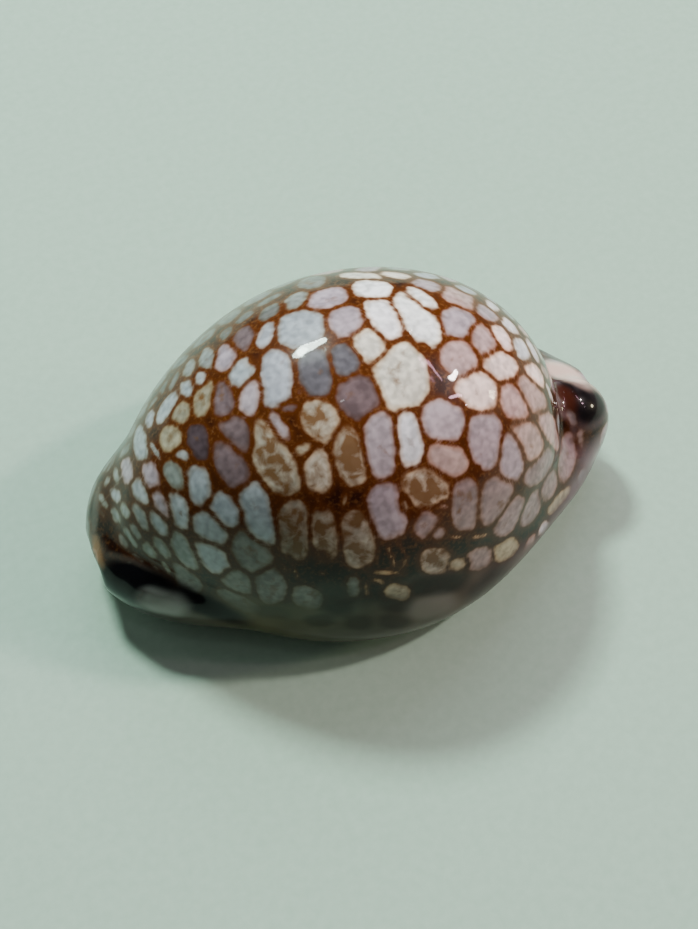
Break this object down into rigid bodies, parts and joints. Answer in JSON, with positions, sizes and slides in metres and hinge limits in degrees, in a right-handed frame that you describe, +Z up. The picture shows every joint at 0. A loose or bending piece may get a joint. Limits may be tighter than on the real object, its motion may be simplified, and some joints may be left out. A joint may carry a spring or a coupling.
{
  "type": "cowrie shell",
  "caption": "Histrio cowrie shell: glossy domed natural shell with a netted back, toothed slot below and a canal notch at each end, lying on its base.",
  "frame": {"origin": "middle of the bounding box at the resting plane, under the shell", "axes": "+Z up through the dome, +X towards the back end with the buried spire, -X towards the front end with the siphon notch, +Y towards the outer lip and -Y towards the inner lip"},
  "size_m": [0.062, 0.043, 0.0322],
  "materials": {
    "enamel": "gloss"
  },
  "bodies": {
    "root": {"cowrie_shell": "enamel"}
  },
  "joints": []
}
